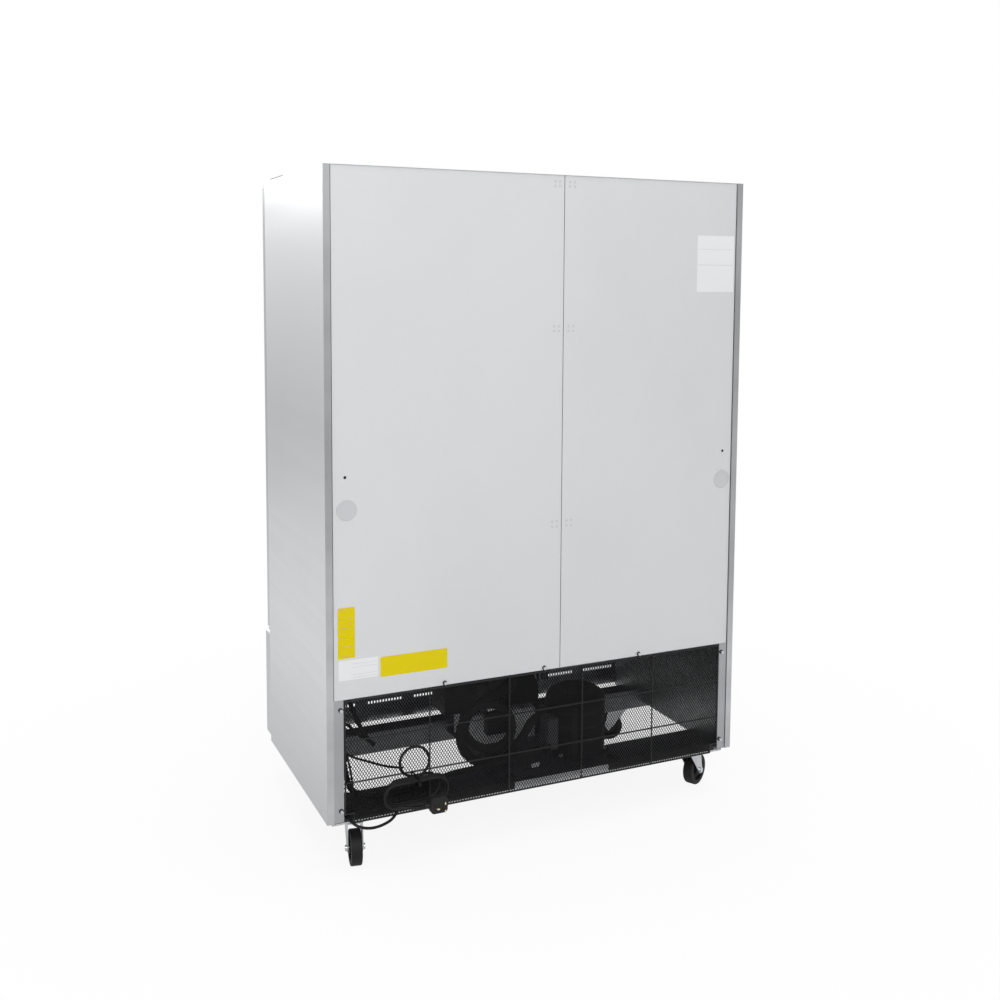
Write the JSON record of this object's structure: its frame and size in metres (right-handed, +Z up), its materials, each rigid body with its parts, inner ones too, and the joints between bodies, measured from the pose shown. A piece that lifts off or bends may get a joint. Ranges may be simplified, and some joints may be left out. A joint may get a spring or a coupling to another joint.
{
  "type": "upright freezer",
  "caption": "Two-door upright freezer with stainless sides, bottom machine bay behind a wire guard, recessed door grips and swivel casters.",
  "frame": {"origin": "on the floor under the middle of the freezer's box, without the mains lead", "axes": "+Z up, -Y is the front with the doors, +X is to the right of a person who faces the doors"},
  "size_m": [1.34, 0.8406, 1.955],
  "materials": {
    "stainless_side": "satin",
    "galvanised_back": "satin",
    "foam": "matte",
    "liner_steel": "satin",
    "white_plastic": "satin",
    "wire_grey": "satin",
    "fin_aluminium": "satin",
    "fan_plastic": "satin",
    "zinc": "satin",
    "bay_galvanised": "satin",
    "black_paint": "satin",
    "jacket_cloth": "matte",
    "hose_foam": "matte",
    "cord_rubber": "satin",
    "gasket_rubber": "matte",
    "tyre_rubber": "matte",
    "grip_black": "satin",
    "key_plastic": "satin",
    "brake_plastic": "satin"
  },
  "bodies": {
    "cabinet": {"side_panel_left": "stainless_side", "side_panel_right": "stainless_side", "top_panel": "stainless_side", "back_panel_wide": "galvanised_back", "back_panel_narrow": "galvanised_back", "foam_insulation": "foam", "inner_liner": "liner_steel", "front_frame": "white_plastic", "shelf_supports": "liner_steel", "wire_shelves": "wire_grey", "evaporator_cover": "liner_steel", "evaporator_coil": "fin_aluminium", "kick_panel": "stainless_side", "controller_housing": "grip_black", "base_channels": "bay_galvanised", "bay_liner": "bay_galvanised", "unit_base_plate": "bay_galvanised", "compressor": "black_paint", "compressor_jacket": "jacket_cloth", "condenser_coil": "fin_aluminium", "condenser_shroud": "black_paint", "suction_hose": "hose_foam", "liquid_line": "hose_foam", "guard_frame": "black_paint", "guard_mesh": "black_paint", "screws_and_bolts": "zinc", "cord_lead": "cord_rubber", "cord_coil": "cord_rubber", "plug": "cord_rubber", "cord_tie": "cord_rubber", "cord_gland": "cord_rubber", "hinge_brackets": "zinc", "hinge_covers": "grip_black", "caster_plates": "zinc"},
    "left_door": {"door_skin_left": "stainless_side", "door_core_left": "foam", "door_gasket_left": "gasket_rubber", "door_handle_left": "grip_black"},
    "left_lock": {"door_lock_left": "zinc"},
    "evaporator_fan_left": {"evaporator_fan_left": "fan_plastic"},
    "right_door": {"door_skin_right": "stainless_side", "door_core_right": "foam", "door_gasket_right": "gasket_rubber", "door_handle_right": "grip_black"},
    "right_lock": {"door_lock_right": "zinc"},
    "evaporator_fan_right": {"evaporator_fan_right": "fan_plastic"},
    "fork_rear_right": {"caster_fork_rear_right": "zinc"},
    "wheel_rear_right": {"caster_wheel_rear_right": "tyre_rubber"},
    "fork_rear_left": {"caster_fork_rear_left": "zinc"},
    "wheel_rear_left": {"caster_wheel_rear_left": "tyre_rubber"},
    "fork_front_right": {"caster_fork_front_right": "zinc"},
    "wheel_front_right": {"caster_wheel_front_right": "tyre_rubber"},
    "fork_front_left": {"caster_fork_front_left": "zinc"},
    "wheel_front_left": {"caster_wheel_front_left": "tyre_rubber"},
    "brake_left": {"brake_pedal_left": "brake_plastic"},
    "brake_right": {"brake_pedal_right": "brake_plastic"},
    "condenser_fan": {"condenser_fan": "fan_plastic"},
    "button_1": {"controller_button_1": "key_plastic"},
    "button_2": {"controller_button_2": "key_plastic"},
    "button_3": {"controller_button_3": "key_plastic"}
  },
  "joints": [
    {"name": "right_door_hinge", "type": "hinge", "parent": "cabinet", "child": "right_door", "pos_m": [0.644, -0.3297, 0.515], "axis": [0, 0, 1], "range_deg": [0, 110]},
    {"name": "left_door_hinge", "type": "hinge", "parent": "cabinet", "child": "left_door", "pos_m": [-0.644, -0.3297, 0.515], "axis": [0, 0, -1], "range_deg": [0, 110]},
    {"name": "right_lock_turn", "type": "hinge", "parent": "right_door", "child": "right_lock", "pos_m": [0.069, -0.3597, 0.79], "axis": [0, 1, 0], "range_deg": [0, 90]},
    {"name": "left_lock_turn", "type": "hinge", "parent": "left_door", "child": "left_lock", "pos_m": [-0.069, -0.3597, 0.79], "axis": [0, 1, 0], "range_deg": [0, 90]},
    {"name": "rear_right_swivel", "type": "hinge", "parent": "cabinet", "child": "fork_rear_right", "pos_m": [0.57, 0.2753, 0.118], "axis": [0, 0, 1], "continuous": true},
    {"name": "rear_right_roll", "type": "hinge", "parent": "fork_rear_right", "child": "wheel_rear_right", "pos_m": [0.57695, 0.31469, 0.05], "axis": [0.9848, -0.1736, 0], "continuous": true},
    {"name": "rear_left_swivel", "type": "hinge", "parent": "cabinet", "child": "fork_rear_left", "pos_m": [-0.57, 0.2753, 0.118], "axis": [0, 0, 1], "continuous": true},
    {"name": "rear_left_roll", "type": "hinge", "parent": "fork_rear_left", "child": "wheel_rear_left", "pos_m": [-0.60532, 0.25652, 0.05], "axis": [-0.4695, 0.8829, 0], "continuous": true},
    {"name": "front_right_swivel", "type": "hinge", "parent": "cabinet", "child": "fork_front_right", "pos_m": [0.57, -0.1697, 0.118], "axis": [0, 0, 1], "continuous": true},
    {"name": "front_right_roll", "type": "hinge", "parent": "fork_front_right", "child": "wheel_front_right", "pos_m": [0.53136, -0.15935, 0.05], "axis": [0.2588, 0.9659, 0], "continuous": true},
    {"name": "right_brake_press", "type": "hinge", "parent": "fork_front_right", "child": "brake_right", "pos_m": [0.50528, -0.15236, 0.113], "axis": [-0.2588, -0.9659, 0], "range_deg": [0, 14]},
    {"name": "front_left_swivel", "type": "hinge", "parent": "cabinet", "child": "fork_front_left", "pos_m": [-0.57, -0.1697, 0.118], "axis": [0, 0, 1], "continuous": true},
    {"name": "front_left_roll", "type": "hinge", "parent": "fork_front_left", "child": "wheel_front_left", "pos_m": [-0.53346, -0.18597, 0.05], "axis": [-0.4067, -0.9135, 0], "continuous": true},
    {"name": "left_brake_press", "type": "hinge", "parent": "fork_front_left", "child": "brake_left", "pos_m": [-0.50879, -0.19695, 0.113], "axis": [0.4067, 0.9135, 0], "range_deg": [0, 14]},
    {"name": "condenser_fan_spin", "type": "hinge", "parent": "cabinet", "child": "condenser_fan", "pos_m": [0.035, 0.0443, 0.3805], "axis": [0, 1, 0], "continuous": true},
    {"name": "evaporator_fan_left_spin", "type": "hinge", "parent": "cabinet", "child": "evaporator_fan_left", "pos_m": [-0.21, 0.0643, 1.794], "axis": [0, 1, 0], "continuous": true},
    {"name": "evaporator_fan_right_spin", "type": "hinge", "parent": "cabinet", "child": "evaporator_fan_right", "pos_m": [0.21, 0.0643, 1.794], "axis": [0, 1, 0], "continuous": true},
    {"name": "button_1_press", "type": "slide", "parent": "cabinet", "child": "button_1", "axis": [0, 1, 0], "range_m": [0, 0.001], "stiffness_N_per_m": 400},
    {"name": "button_2_press", "type": "slide", "parent": "cabinet", "child": "button_2", "axis": [0, 1, 0], "range_m": [0, 0.001], "stiffness_N_per_m": 400},
    {"name": "button_3_press", "type": "slide", "parent": "cabinet", "child": "button_3", "axis": [0, 1, 0], "range_m": [0, 0.001], "stiffness_N_per_m": 400}
  ]
}
